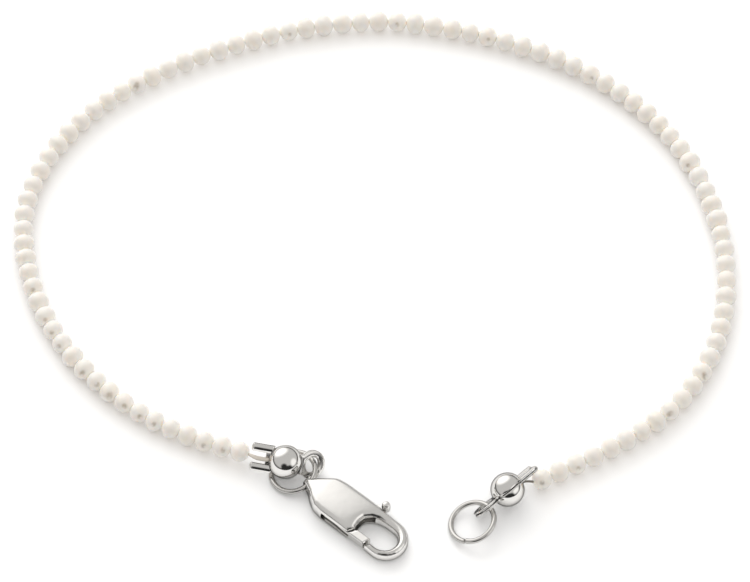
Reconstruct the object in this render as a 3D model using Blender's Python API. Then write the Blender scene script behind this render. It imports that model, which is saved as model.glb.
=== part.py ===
"""Strand bracelet: small pearls on a thread, two folded bead tips, two jump rings and a lobster clasp."""

import math

import bpy
import numpy as np

for found in list(bpy.data.objects):
    bpy.data.objects.remove(found, do_unlink=True)

MM = 0.001

# Strand, in millimetres
PEARL_WIDTH = 2.0
PEARL_PITCH = 1.77
PEARL_SPREAD = 0.045
PEARL_SIDES = 12
THREAD_WIDTH = 0.24
KNOT_WIDTH = 0.84
STRAND_ROUTE = [
    (-12.5, -18.85, 1.4), (-16.3, -17.3, 1.05), (-20.6, -15.15, 1.0), (-24.6, -12.15, 1.0), (-28.05, -8.35, 1.0),
    (-30.9, -3.7, 1.0), (-32.7, 1.6, 1.0), (-33.3, 6.6, 1.0), (-32.7, 10.9, 1.0), (-30.6, 15.7, 1.0),
    (-27.1, 20.1, 1.0), (-22.9, 23.4, 1.0), (-18.2, 26.1, 1.0), (-13.3, 28.1, 1.0), (-8.3, 29.7, 1.0),
    (-3.2, 30.6, 1.0), (2.0, 30.8, 1.0), (7.1, 30.0, 1.0), (12.2, 28.6, 1.0), (17.1, 26.6, 1.0),
    (21.7, 23.8, 1.0), (25.8, 20.2, 1.0), (29.2, 15.7, 1.0), (31.6, 10.4, 1.0), (33.0, 4.2, 1.0),
    (32.9, -2.4, 1.0), (31.4, -8.0, 1.0), (28.6, -12.8, 1.0), (24.9, -16.2, 1.0), (20.8, -18.8, 1.0),
    (15.35, -21.65, 1.0),
]

# Bead tip
BALL_WIDTH = 3.16
SHEET = 0.18
SEAM_GAP = 0.1
FOLD_REACH = 3.3
FOLD_WIDTH = 2.6
SLOT_WIDTH = 1.15
EYE_WIDTH = 2.74
EYE_HOLE = 1.48
NECK_WIDTH = 1.9
EYE_ROOT = 1.42

# Bead tip at the clasp end: middle of the ball, direction to its eyes, roll, bend of the eyes
TIP_A_AT = (-8.262, -20.286, 1.862)
TIP_A_YAW, TIP_A_PITCH, TIP_A_ROLL, TIP_A_BEND = -11.73, 0.0, 45.0, 40.45
TIP_A_EYE_REACH = 1.196
TIP_A_GATE = (-2.6, -0.05, 0.22)
# Bead tip at the ring end
TIP_B_AT = (12.2, -23.215, 1.734)
TIP_B_YAW, TIP_B_PITCH, TIP_B_ROLL, TIP_B_BEND = -139.9, -9.23, 57.4, -0.75
TIP_B_EYE_REACH = 1.1
TIP_B_GATE = (-1.75, 0.1, -0.45)

# Jump rings
RING_MIDDLE = 4.15
RING_WIRE = 0.49
RING_SIDES = 6
RING_STEPS = 32
RING_JOINT = 0.09
RING_A_AT = (-7.561, -20.638, 0.72)
RING_A_TILT = (-12.284, 3.086)
RING_B_AT = (8.955, -26.204, 0.885)
RING_B_TILT = (-17.26, 0.0)

# Lobster clasp: length runs from the tail's tip to the hook's far end
CLASP_LENGTH = 12.1
CLASP_WIDTH = 4.16
CLASP_HEIGHT = 1.92
CLASP_AT = (-6.05, -21.95)
CLASP_YAW = -40.6
TAIL_HOLE = 0.9
SLOT_LOW, SLOT_HIGH = 0.6, 1.3
PIN_WIDTH = 0.6
PIN_AT = (4.9, -0.7)
LEVER_LOW, LEVER_HIGH = 0.73, 1.17
GATE_LOW, GATE_HIGH = 0.38, 1.5
GATE_REACH = 3.57
GATE_ROOT = 2.07
LEVER_CLEAR = 0.11


def turn(axis, degrees):
    """Rotation matrix about a unit axis."""
    angle = math.radians(degrees)
    x, y, z = np.array(axis, float) / np.linalg.norm(axis)
    skew = np.array([[0, -z, y], [z, 0, -x], [-y, x, 0]])
    return np.eye(3) + math.sin(angle) * skew + (1 - math.cos(angle)) * skew @ skew


def closed_tube(centres, normals, outlines):
    """A capped tube: outlines[i] holds (across, up) pairs about centres[i], up along normals[i]."""
    centres = np.array(centres, float)
    steps, sides = len(outlines), len(outlines[0])
    along = np.gradient(centres, axis=0)
    along /= np.linalg.norm(along, axis=1)[:, None]
    up = np.array(normals, float) - (np.array(normals) * along).sum(1)[:, None] * along
    up /= np.linalg.norm(up, axis=1)[:, None]
    across = np.cross(up, along)
    pairs = np.array(outlines, float)
    points = centres[:, None] + pairs[:, :, :1] * across[:, None] + pairs[:, :, 1:] * up[:, None]
    return points.reshape(-1, 3), tube_faces(steps, sides)


def tube_faces(steps, sides):
    """Quads between neighbouring outlines and one polygon at each end."""
    faces = []
    for i in range(steps - 1):
        for j in range(sides):
            k = (j + 1) % sides
            faces.append((i * sides + j, i * sides + k, (i + 1) * sides + k, (i + 1) * sides + j))
    faces.append(tuple(range(sides - 1, -1, -1)))
    faces.append(tuple((steps - 1) * sides + j for j in range(sides)))
    return faces


def ball(radius, around=20, rows=12):
    """A sphere about the origin."""
    points = [(0, 0, radius)]
    for i in range(1, rows):
        polar = math.pi * i / rows
        for j in range(around):
            turned = 2 * math.pi * j / around
            points.append((radius * math.sin(polar) * math.cos(turned),
                           radius * math.sin(polar) * math.sin(turned), radius * math.cos(polar)))
    points.append((0, 0, -radius))
    last = len(points) - 1
    faces = [(0, 1 + j, 1 + (j + 1) % around) for j in range(around)]
    for i in range(rows - 2):
        for j in range(around):
            k = (j + 1) % around
            a, b = 1 + i * around, 1 + (i + 1) * around
            faces.append((a + j, b + j, b + k, a + k))
    a = 1 + (rows - 2) * around
    faces += [(last, a + (j + 1) % around, a + j) for j in range(around)]
    return np.array(points), faces


def prism(outline, low, high):
    """A polygon in XY carried from low to high along Z."""
    outline = np.array(outline, float)
    x, y = outline[:, 0], outline[:, 1]
    if (x * np.roll(y, -1) - np.roll(x, -1) * y).sum() < 0:
        outline = outline[::-1]
    count = len(outline)
    points = np.vstack([np.c_[outline, np.full(count, low)], np.c_[outline, np.full(count, high)]])
    faces = [(j, (j + 1) % count, count + (j + 1) % count, count + j) for j in range(count)]
    faces.append(tuple(range(count - 1, -1, -1)))
    faces.append(tuple(range(count, 2 * count)))
    return points, faces


def arc(middle, radius, start, stop, steps):
    """Points on a circle between two angles in degrees."""
    angles = np.radians(np.linspace(start, stop, steps))
    return [(middle[0] + radius * math.cos(a), middle[1] + radius * math.sin(a)) for a in angles]


def enclosed(points, faces):
    """Signed volume within the faces, positive when they face out."""
    return sum(np.dot(points[f[0]], np.cross(points[f[k]], points[f[k + 1]]))
               for f in faces for k in range(1, len(f) - 1)) / 6


def add_object(name, shape, material=None, smooth=True, parent=None):
    """A mesh object from points in millimetres."""
    points, faces = np.array(shape[0]), [tuple(map(int, f)) for f in shape[1]]
    if enclosed(points, faces) < 0:
        faces = [f[::-1] for f in faces]
    mesh = bpy.data.meshes.new(name)
    mesh.from_pydata((points * MM).tolist(), [], faces)
    mesh.validate()
    mesh.update()
    made = bpy.data.objects.new(name, mesh)
    bpy.context.collection.objects.link(made)
    if material:
        mesh.materials.append(material)
    for polygon in mesh.polygons:
        polygon.use_smooth = smooth
    made.parent = parent
    return made


def add_boolean(target, kind, shape):
    """Joins a helper mesh to the target or cuts it away; the helper rides on the target."""
    helper = add_object(target.name + "_" + kind.lower(), shape, smooth=False, parent=target)
    helper.hide_render = True
    helper.display_type = "WIRE"
    step = target.modifiers.new(kind.lower(), "BOOLEAN")
    step.operation = kind
    step.solver = "EXACT"
    step.object = helper


def add_material(name, colour, metallic, roughness):
    """One plain surface."""
    made = bpy.data.materials.new(name)
    made.use_nodes = True
    shader = made.node_tree.nodes["Principled BSDF"]
    shader.inputs["Base Color"].default_value = (*colour, 1.0)
    shader.inputs["Metallic"].default_value = metallic
    shader.inputs["Roughness"].default_value = roughness
    return made


def smooth_path(points, step):
    """A curve through the points, sampled evenly."""
    points = np.array(points, float)
    padded = np.vstack([2 * points[0] - points[1], points, 2 * points[-1] - points[-2]])
    fine = []
    for i in range(1, len(padded) - 2):
        a, b, c, d = padded[i - 1 : i + 3]
        t = np.linspace(0, 1, 40, endpoint=False)[:, None]
        fine.append(0.5 * (2 * b + (c - a) * t + (2 * a - 5 * b + 4 * c - d) * t**2
                           + (3 * b - a - 3 * c + d) * t**3))
    fine = np.vstack(fine + [points[-1:]])
    run = np.r_[0, np.cumsum(np.linalg.norm(np.diff(fine, axis=0), axis=1))]
    even = np.arange(0, run[-1], step)
    return np.array([[np.interp(s, run, fine[:, k]) for k in range(3)] for s in even]), even


def tip_frame(yaw, pitch, roll):
    """Columns: from the strand to the eyes, across the fold, out of the upper cup."""
    along = turn((0, 0, 1), yaw) @ turn((0, 1, 0), -pitch) @ np.array([1.0, 0, 0])
    up = np.array([0, 0, 1.0]) - along[2] * along
    out = turn(along, roll) @ (up / np.linalg.norm(up))
    return np.column_stack([along, np.cross(out, along), out])


def strand_shape():
    """Pearls and thread as one tube whose outline swells at each pearl."""
    path, run = smooth_path(STRAND_ROUTE, 0.05)
    inset = PEARL_PITCH / 2
    count = int(round(run[-1] / PEARL_PITCH)) + 1
    random = np.random.default_rng(7)
    lengths = PEARL_PITCH * (1 + PEARL_SPREAD * np.clip(random.normal(0, 1, count), -1.6, 1.6))
    lengths *= (run[-1] + 2 * inset) / lengths.sum()
    widths = PEARL_WIDTH * (1 + PEARL_SPREAD * np.clip(random.normal(0, 0.8, count), -1.4, 1.4))
    ends = np.r_[0, np.cumsum(lengths)] - inset
    where, radii = [], []
    for i in range(count):
        middle = (ends[i] + ends[i + 1]) / 2
        neck = 0.3 if i else THREAD_WIDTH / 2
        where += [ends[i], middle - 0.3 * lengths[i], middle, middle + 0.3 * lengths[i]]
        radii += [neck, 0.425 * widths[i], widths[i] / 2, 0.425 * widths[i]]
    where.append(ends[-1])
    radii.append(THREAD_WIDTH / 2)
    where = np.array(where)

    def at(s):
        inner = np.clip(s, run[0], run[-1])
        point = np.array([np.interp(inner, run, path[:, k]) for k in range(3)]).T
        start, stop = path[0] - path[4], path[-1] - path[-5]
        start, stop = start / np.linalg.norm(start), stop / np.linalg.norm(stop)
        return point + np.minimum(s, 0)[:, None] * -start + np.maximum(s - run[-1], 0)[:, None] * stop

    middles = at(where)
    before = thread_end(middles[0], TIP_A_AT, tip_frame(TIP_A_YAW, TIP_A_PITCH, TIP_A_ROLL),
                        TIP_A_GATE)
    after = thread_end(middles[-1], TIP_B_AT, tip_frame(TIP_B_YAW, TIP_B_PITCH, TIP_B_ROLL),
                       TIP_B_GATE)
    centres = np.vstack([before[0][::-1], middles, after[0]])
    radii = np.r_[before[1][::-1], radii, after[1]]
    angles = 2 * np.pi * np.arange(PEARL_SIDES) / PEARL_SIDES
    unit = np.c_[np.cos(angles), np.sin(angles)]
    return closed_tube(centres, np.tile((0, 0, 1.0), (len(centres), 1)), radii[:, None, None] * unit)


def thread_end(start, tip_at, frame, gate):
    """The thread from a pearl through the fold's slot to a knot inside the ball, with its radii."""
    local = (start - np.array(tip_at)) @ frame
    knot = np.array([-0.5, 0, 0])
    points = [local + (np.array(gate) - local) * t for t in (0.4, 0.8)]
    points += [np.array(gate), np.array([-1.35, 0.4 * gate[1], 0.85 * gate[2]]), knot + (-0.45, 0, 0)]
    radii = [THREAD_WIDTH / 2] * 5
    for shift, share in ((-0.4, 0.45), (-0.2, 0.9), (0.0, 1.0), (0.2, 0.9), (0.4, 0.45)):
        points.append(knot + (shift, 0, 0))
        radii.append(KNOT_WIDTH / 2 * share)
    return np.array(points) @ frame.T + np.array(tip_at), radii


def eye_plate(reach, low, high):
    """A flat eye and its neck in the plane of the sheet, from the root outwards."""
    radius, half = EYE_WIDTH / 2, NECK_WIDTH / 2
    meet = math.degrees(math.asin(half / radius))
    rim = arc((reach, 0), radius, -180 + meet, 180 - meet, 22)
    return prism([(-0.45, -half)] + rim + [(-0.45, half)], low, high)


def bent(shape, degrees):
    """The shape turned down about the sheet's root line, where the eyes leave the cups."""
    points, faces = shape
    turned = np.array(points) @ turn((0, 1, 0), degrees).T
    return turned + (EYE_ROOT, 0, 0), faces


def upright(outline, half_width):
    """A prism whose outline lies in the XZ plane, as wide as asked along Y."""
    points, faces = prism(outline, -half_width, half_width)
    turned = np.c_[points[:, 0], -points[:, 2], points[:, 1]]
    return turned, faces


def build_bead_tip(name, at, frame, bend, reach, slot_below, material, parent):
    """Two hollow cups joined by a slotted fold on the strand's side, an eye on each cup."""
    inner, outer = 0.1, 0.1 + SHEET
    crest = -(FOLD_REACH - outer)
    outline = [(-0.2, outer)] + arc((crest, 0), outer, 90, 270, 9) + [(-0.2, -outer), (-0.2, -inner)]
    outline += arc((crest, 0), inner, 270, 90, 7) + [(-0.2, inner)]
    tip = add_object(name, ball(BALL_WIDTH / 2), material, parent=parent)
    add_boolean(tip, "UNION", upright(outline, FOLD_WIDTH / 2))
    half_gap = SEAM_GAP / 2
    plate_out = half_gap + SHEET
    add_boolean(tip, "UNION", bent(eye_plate(reach, half_gap - 0.02, plate_out), bend))
    add_boolean(tip, "UNION", bent(eye_plate(reach, -plate_out, -half_gap + 0.02), bend))
    hole = prism(arc((reach, 0), EYE_HOLE / 2, 0, 345, 24), -1.0, 1.0)
    add_boolean(tip, "DIFFERENCE", bent(hole, bend))
    add_boolean(tip, "DIFFERENCE", ball(BALL_WIDTH / 2 - SHEET - 0.02))
    lean = math.radians(bend)
    kink = half_gap * math.tan(lean / 2)
    far = reach + EYE_WIDTH
    ends = [(EYE_ROOT + far * math.cos(lean) + side * half_gap * math.sin(lean),
             -far * math.sin(lean) + side * half_gap * math.cos(lean)) for side in (1, -1)]
    seam = [(crest + 0.02, half_gap), (EYE_ROOT + kink, half_gap), ends[0], ends[1],
            (EYE_ROOT - kink, -half_gap), (crest + 0.02, -half_gap)]
    add_boolean(tip, "DIFFERENCE", upright(seam, 2.4))
    add_boolean(tip, "DIFFERENCE", upright([(-FOLD_REACH - 0.3, 0), (-1.0, 0), (-1.0, 0.46),
                                            (-FOLD_REACH - 0.3, 0.46)], SLOT_WIDTH / 2))
    add_boolean(tip, "DIFFERENCE", upright([(-FOLD_REACH - 0.3, -0.62), (slot_below, -0.62), (slot_below, 0.02),
                                            (-FOLD_REACH - 0.3, 0.02)], SLOT_WIDTH / 2 - 0.01))
    place(tip, at, frame)
    return tip


def place(made, at, frame):
    """Moves and turns an object built about its own origin."""
    made.rotation_mode = "QUATERNION"
    made.rotation_quaternion = quaternion(frame)
    made.location = tuple(np.array(at) * MM)


def quaternion(frame):
    """Unit quaternion of a rotation matrix, w first."""
    w = math.sqrt(max(0.0, 1 + frame[0, 0] + frame[1, 1] + frame[2, 2])) / 2
    x = math.copysign(math.sqrt(max(0.0, 1 + frame[0, 0] - frame[1, 1] - frame[2, 2])) / 2,
                      frame[2, 1] - frame[1, 2])
    y = math.copysign(math.sqrt(max(0.0, 1 - frame[0, 0] + frame[1, 1] - frame[2, 2])) / 2,
                      frame[0, 2] - frame[2, 0])
    z = math.copysign(math.sqrt(max(0.0, 1 - frame[0, 0] - frame[1, 1] + frame[2, 2])) / 2,
                      frame[1, 0] - frame[0, 1])
    return (w, x, y, z)


def build_ring(name, at, tilt, start, material, parent):
    """A round wire bent to a circle, its ends butted with a small joint at the start angle."""
    radius = RING_MIDDLE / 2
    gap = RING_JOINT / radius
    angles = np.linspace(gap / 2, 2 * np.pi - gap / 2, RING_STEPS)
    centres = radius * np.c_[np.cos(angles), np.sin(angles), np.zeros(RING_STEPS)]
    around = 2 * np.pi * np.arange(RING_SIDES) / RING_SIDES
    unit = RING_WIRE / 2 * np.c_[np.cos(around), np.sin(around)]
    ring = add_object(name, closed_tube(centres, np.tile((0, 0, 1.0), (RING_STEPS, 1)), [unit] * RING_STEPS),
                      material, parent=parent)
    place(ring, at, turn((0, 1, 0), tilt[0]) @ turn((1, 0, 0), tilt[1]) @ turn((0, 0, 1), start))
    return ring


def clasp_rows():
    """The two edges of the clasp's metal strip, in millimetres from the tail hole's middle."""
    inner, outer = [(8.56, -1.39), (8.75, -1.34)], [(8.35, -2.02), (8.75, -2.05)]
    for angle in np.linspace(-84, 90, 15):
        a = math.radians(angle)
        inner.append((9.1 + 1.37 * math.cos(a), -0.15 + 1.24 * math.sin(a)))
        outer.append((9.25 + 2.1 * math.cos(a), 2.08 * math.sin(a)))
    pairs = [
        ((8.3, 1.08), (8.2, 2.08)), ((7.6, 0.95), (7.2, 2.08)), ((7.0, 0.62), (6.2, 2.08)),
        ((6.6, 0.15), (5.2, 2.08)), ((6.5, -0.4), (4.3, 2.07)), ((6.58, -0.95), (3.6, 2.07)),
        ((6.72, -1.25), (3.15, 2.06)), ((6.6, -1.62), (2.95, 2.05)), ((6.32, -2.04), (2.8, 2.04)),
        ((5.4, -2.07), (2.6, 2.02)), ((4.0, -2.08), (2.2, 1.97)), ((2.9, -2.06), (1.8, 1.84)),
        ((2.0, -1.92), (1.35, 1.5)), ((1.3, -1.52), (0.85, 1.08)), ((0.65, -1.0), (0.4, 0.72)),
        ((0.15, -0.74), (0.0, 0.36)), ((-0.2, -0.58), (-0.25, 0.18)), ((-0.42, -0.4), (-0.44, 0.02)),
    ]
    inner += [a for a, _ in pairs]
    outer += [b for _, b in pairs]
    return np.array(inner), np.array(outer)


def edge_distance(points, line):
    """Least distance of each point to a broken line."""
    a, b = line[:-1], line[1:]
    d = b - a
    share = ((points[:, None] - a) * d).sum(2) / (d * d).sum(1)
    nearest = a + np.clip(share, 0, 1)[:, :, None] * d
    return np.linalg.norm(points[:, None] - nearest, axis=2).min(1)


def clasp_heights(points, edge):
    """Upper and lower surface over the plan: a dome with rounded edges on a flat base."""
    s, t = points[:, 0], points[:, 1]
    share = t / (CLASP_WIDTH / 2)
    dome = CLASP_HEIGHT * (1 - 0.1 * np.clip(np.abs(share), 0, 1) ** 2.2)
    hook = CLASP_HEIGHT * 0.68
    over = 1 / (1 + np.exp(-(s - 7.6 - 0.35 * (t - 1.0)) / 0.36))
    tail = 1 - 0.08 * np.clip((1.9 - s) / 2.6, 0, 1) ** 1.5
    top = (dome * (1 - over) + hook * over) * tail
    middle = 0.46 * top
    rise, drop = 0.5, 0.42

    def bow(distance, reach):
        share = np.clip(distance / reach, 0, 1)
        return (1 - (1 - share) ** 2.3) ** (1 / 2.3)

    high = middle + (top - middle) * bow(edge, rise)
    low = middle * (1 - bow(edge, drop))
    return high, low


def clasp_body_shape():
    """The strip between the clasp's two edges, lofted with its rounded upper and flat lower side."""
    inner, outer = clasp_rows()
    line = np.vstack([inner, outer[::-1]])
    line = np.vstack([line, line[:1]])
    cap_a, cap_b = np.vstack([inner[:1], outer[:1]]), np.vstack([inner[-1:], outer[-1:]])
    rows = []
    for a, b in zip(inner, outer):
        width = np.linalg.norm(b - a)
        near = np.array([0.0, 0.03, 0.12, 0.3, 0.55]) * min(1.0, width / 1.3)
        shares = np.r_[near, width / 2 if width < 1.4 else np.linspace(near[-1], width - near[-1], 5)[1:-1],
                       (width - near)[::-1]] / width
        if width < 1.4:
            shares = np.interp(np.linspace(0, 10, 13), np.arange(11), shares)
        points = a + shares[:, None] * (b - a)
        edge = np.minimum(edge_distance(points, inner), edge_distance(points, outer))
        edge = np.minimum(edge, edge_distance(points, cap_a) + 0.06)
        edge = np.minimum(edge, edge_distance(points, cap_b) + 0.06)
        high, low = clasp_heights(points, edge)
        upper = np.c_[points, high]
        lower = np.c_[points, low][1:-1][::-1]
        rows.append(np.vstack([upper, lower]))
    sides = len(rows[0])
    return np.vstack(rows), tube_faces(len(rows), sides)


def slot_outline():
    """Room for the lever: open along the left side, into the window and on the right side."""
    return [(1.9, -2.8), (7.3, -2.8), (7.3, 0.2), (7.45, 2.9), (5.3, 2.9), (4.75, 1.1), (4.1, 0.35),
            (3.1, -0.25), (1.9, -1.0)]


def lever_outline():
    """The flat lever: flush left edge, round pivot, gate stub and the arm to its knob."""
    px, py = PIN_AT
    points = [(3.4, -1.93), (6.2, -1.95)]
    points += [(px + 3.2 * math.cos(a), py + 3.2 * math.sin(a)) for a in np.radians([-23.5, -11])]
    points += [(6.4, -0.75), (5.95, 0.35), (6.55, 1.05), (7.25, 2.0), (7.3, 2.4), (6.9, 2.5), (6.4, 1.95),
               (5.6, 1.05), (5.0, 0.12), (4.3, -0.25), (3.5, -0.9)]
    return points


def gate_outline():
    """The thick gate between two arcs about the pin, in front of the body."""
    px, py = PIN_AT

    def on(radius, t):
        return (px + math.sqrt(radius**2 - (t - py) ** 2), t)

    return [on(GATE_ROOT, t) for t in (-1.2, -1.5, -1.8, -2.04)] + [on(GATE_REACH, t) for t in (-2.04, -1.7, -1.4, -1.24)]


def knob_shape():
    """The thumb knob, a short upright drum with rounded ends at the end of the arm."""
    rings = [(-0.6, 0.1), (-0.54, 0.24), (-0.4, 0.33), (-0.2, 0.37), (0.2, 0.37), (0.4, 0.33), (0.54, 0.24),
             (0.6, 0.1)]
    angles = 2 * np.pi * np.arange(16) / 16
    points = []
    for z, r in rings:
        points += [(7.1 + r * math.cos(a), 2.58 + r * math.sin(a), 0.95 + z) for a in angles]
    return np.array(points), tube_faces(len(rings), 16)


def build_clasp(silver, parent):
    """Body with its pin, and the lever hinged on the pin's axis."""
    stand = bpy.data.objects.new("clasp_axis", None)
    bpy.context.collection.objects.link(stand)
    stand.parent = parent
    stand.location = (CLASP_AT[0] * MM, CLASP_AT[1] * MM, 0)
    stand.rotation_euler = (0, 0, math.radians(CLASP_YAW))
    body = add_object("clasp_body", clasp_body_shape(), silver, parent=stand)
    add_boolean(body, "DIFFERENCE", prism(slot_outline(), SLOT_LOW, SLOT_HIGH))
    add_boolean(body, "UNION", prism(arc(PIN_AT, PIN_WIDTH / 2, 0, 337.5, 16), SLOT_LOW - 0.2, SLOT_HIGH + 0.2))
    add_boolean(body, "DIFFERENCE", tail_hole_shape())
    pivot = bpy.data.objects.new("lever_axis", None)
    bpy.context.collection.objects.link(pivot)
    pivot.parent = stand
    pivot.location = (PIN_AT[0] * MM, PIN_AT[1] * MM, 0)

    def about_pin(shape):
        points, faces = shape
        return np.array(points) - (PIN_AT[0], PIN_AT[1], 0), faces

    lever = add_object("clasp_lever", about_pin(prism(lever_outline(), LEVER_LOW, LEVER_HIGH)), silver,
                       smooth=False, parent=pivot)
    add_boolean(lever, "UNION", about_pin(prism(gate_outline(), GATE_LOW, GATE_HIGH)))
    add_boolean(lever, "UNION", about_pin(knob_shape()))
    bore = prism(arc(PIN_AT, PIN_WIDTH / 2 + LEVER_CLEAR, 0, 340, 18), 0.0, 2.5)
    add_boolean(lever, "DIFFERENCE", about_pin(bore))
    return body, lever


def tail_hole_shape():
    """A bore across the tail that follows the ring where it passes, in the clasp's own frame."""
    frame = turn((0, 1, 0), RING_A_TILT[0]) @ turn((1, 0, 0), RING_A_TILT[1])
    angles = np.radians(np.arange(0, 360, 0.5))
    circle = RING_MIDDLE / 2 * np.c_[np.cos(angles), np.sin(angles), 0 * angles] @ frame.T + np.array(RING_A_AT)
    own = clasp_own(circle)
    near = np.argmin(np.hypot(own[:, 0] - 0.06, own[:, 1]))
    point = own[near]
    ahead = own[(near + 4) % len(own)] - own[near - 4]
    ahead /= np.linalg.norm(ahead)
    centre = clasp_own(np.array([RING_A_AT]))[0]
    inward = centre - point
    inward /= np.linalg.norm(inward)
    point = point + 0.06 * inward
    reach = np.array([-2.2, 0, 2.2])
    around = np.linspace(0, 2 * np.pi, 16, endpoint=False)
    unit = TAIL_HOLE / 2 * np.c_[np.cos(around), np.sin(around)]
    return closed_tube(point + reach[:, None] * ahead, np.tile((0, 0, 1.0), (3, 1)), [unit] * 3)


def clasp_own(points):
    """Layout points in the clasp's own frame."""
    yaw = turn((0, 0, 1), CLASP_YAW)
    return (np.array(points) - (CLASP_AT[0], CLASP_AT[1], 0)) @ yaw


def main():
    pearl = add_material("pearl", (0.83, 0.79, 0.74), 0.0, 0.3)
    silver = add_material("polished_silver", (0.86, 0.85, 0.83), 1.0, 0.12)
    bracelet = bpy.data.objects.new("bracelet", None)
    bpy.context.collection.objects.link(bracelet)
    made = [add_object("pearl_string", strand_shape(), pearl, parent=bracelet)]
    frame_a = tip_frame(TIP_A_YAW, TIP_A_PITCH, TIP_A_ROLL)
    frame_b = tip_frame(TIP_B_YAW, TIP_B_PITCH, TIP_B_ROLL)
    made.append(build_bead_tip("bead_tip_left", TIP_A_AT, frame_a, TIP_A_BEND, TIP_A_EYE_REACH, -1.9, silver,
                               bracelet))
    made.append(build_bead_tip("bead_tip_right", TIP_B_AT, frame_b, TIP_B_BEND, TIP_B_EYE_REACH, -1.0, silver,
                               bracelet))
    made.append(build_ring("jump_ring_left", RING_A_AT, RING_A_TILT, 100, silver, bracelet))
    made.append(build_ring("jump_ring_right", RING_B_AT, RING_B_TILT, -110, silver, bracelet))
    made += build_clasp(silver, bracelet)
    bpy.context.view_layer.update()
    graph = bpy.context.evaluated_depsgraph_get()
    low, high = np.full(3, 1e9), np.full(3, -1e9)
    for piece in made:
        shown = piece.evaluated_get(graph)
        mesh = shown.to_mesh()
        points = np.empty(len(mesh.vertices) * 3, np.float32)
        mesh.vertices.foreach_get("co", points)
        shown.to_mesh_clear()
        world = np.array(shown.matrix_world)
        points = points.reshape(-1, 3) @ world[:3, :3].T + world[:3, 3]
        low, high = np.minimum(low, points.min(0)), np.maximum(high, points.max(0))
    bracelet.location = (-(low[0] + high[0]) / 2, -(low[1] + high[1]) / 2, -low[2])


main()
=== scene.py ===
"""Looks of a pearl strand bracelet lying open on a white table: pearls, folded bead tips, rings and clasp."""

import logging
import math
from dataclasses import dataclass, field
from enum import Enum

import bpy
import numpy as np
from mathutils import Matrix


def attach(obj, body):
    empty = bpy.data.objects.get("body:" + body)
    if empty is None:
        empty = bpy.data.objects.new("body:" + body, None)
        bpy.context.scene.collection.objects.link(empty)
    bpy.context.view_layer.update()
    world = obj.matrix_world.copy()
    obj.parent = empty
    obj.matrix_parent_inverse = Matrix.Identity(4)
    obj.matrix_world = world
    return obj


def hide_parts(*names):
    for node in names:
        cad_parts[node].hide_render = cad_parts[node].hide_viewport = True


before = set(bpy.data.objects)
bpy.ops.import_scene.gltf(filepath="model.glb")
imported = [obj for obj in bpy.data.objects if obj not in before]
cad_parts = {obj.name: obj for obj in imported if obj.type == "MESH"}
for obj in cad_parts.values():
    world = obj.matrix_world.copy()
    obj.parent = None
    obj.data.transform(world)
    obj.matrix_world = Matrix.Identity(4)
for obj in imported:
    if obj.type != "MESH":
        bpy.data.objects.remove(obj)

MM = 0.001
LOG = logging.getLogger("bracelet")


class Body(Enum):
    """The rigid bodies that pieces move with."""

    BRACELET = "bracelet"
    LEVER = "lever"


# Directions and surfaces


def turn(axis: tuple, degrees: float) -> np.ndarray:
    """Rotation matrix about an axis.

    Args:
        axis: Direction of the axis, of any length.
        degrees: Angle by the right-hand rule.

    Returns:
        A 3 by 3 matrix for column vectors.
    """
    angle = math.radians(degrees)
    x, y, z = np.asarray(axis, float) / np.linalg.norm(axis)
    skew = np.array([[0, -z, y], [z, 0, -x], [-y, x, 0]])
    return np.eye(3) + math.sin(angle) * skew + (1 - math.cos(angle)) * skew @ skew


def unit(vectors: np.ndarray) -> np.ndarray:
    """Vectors along the last axis scaled to length one."""
    return vectors / np.maximum(np.linalg.norm(vectors, axis=-1, keepdims=True), 1e-12)


@dataclass
class Surface:
    """Points in millimetres with four-cornered faces and values stored per point.

    Attributes:
        points: Array (n, 3).
        faces: Array (m, 4) of point numbers; a triangle repeats its last corner.
        values: Named arrays of n numbers or n by 3 vectors.
        lids: Flat faces of more corners, each a tuple of point numbers, which only cutting tools have.
    """

    points: np.ndarray
    faces: np.ndarray
    values: dict = field(default_factory=dict)
    lids: tuple = ()

    def moved(self, matrix: np.ndarray, at: tuple) -> "Surface":
        """Turned by a matrix and then shifted."""
        return Surface(self.points @ matrix.T + np.asarray(at, float), self.faces, self.values, self.lids)

    def flipped(self) -> "Surface":
        """With its faces turned the other way."""
        return Surface(self.points, self.faces[:, ::-1], self.values)


def grid_surface(
    points: np.ndarray, wrap_rows: bool = False, wrap_columns: bool = True, caps: bool = False
) -> Surface:
    """A surface over a grid of points P(i, j): each face joins (i, j), (i, j+1), (i+1, j+1), (i+1, j).

    Args:
        points: Array (rows, columns, 3).
        wrap_rows: Whether the last row joins the first.
        wrap_columns: Whether the last column joins the first.
        caps: Whether a fan to the middle closes the first and last rows.

    Returns:
        The surface, without values.
    """
    rows, columns = points.shape[:2]
    i = np.arange(rows if wrap_rows else rows - 1)[:, None]
    j = np.arange(columns if wrap_columns else columns - 1)[None, :]
    a, b = i * columns + j, i * columns + (j + 1) % columns
    c, d = ((i + 1) % rows) * columns + (j + 1) % columns, ((i + 1) % rows) * columns + j
    faces = np.stack([a, b, c, d], axis=-1).reshape(-1, 4)
    flat = points.reshape(-1, 3)
    if caps:
        middles = np.stack([points[0].mean(0), points[-1].mean(0)])
        first, last = np.arange(columns), (rows - 1) * columns + np.arange(columns)
        top, base = np.full(columns, len(flat)), np.full(columns, len(flat) + 1)
        front = np.stack([np.roll(first, -1), first, top, top], axis=1)
        back = np.stack([last, np.roll(last, -1), base, base], axis=1)
        flat = np.vstack([flat, middles])
        faces = np.vstack([faces, front, back])
    return Surface(flat, faces)


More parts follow.
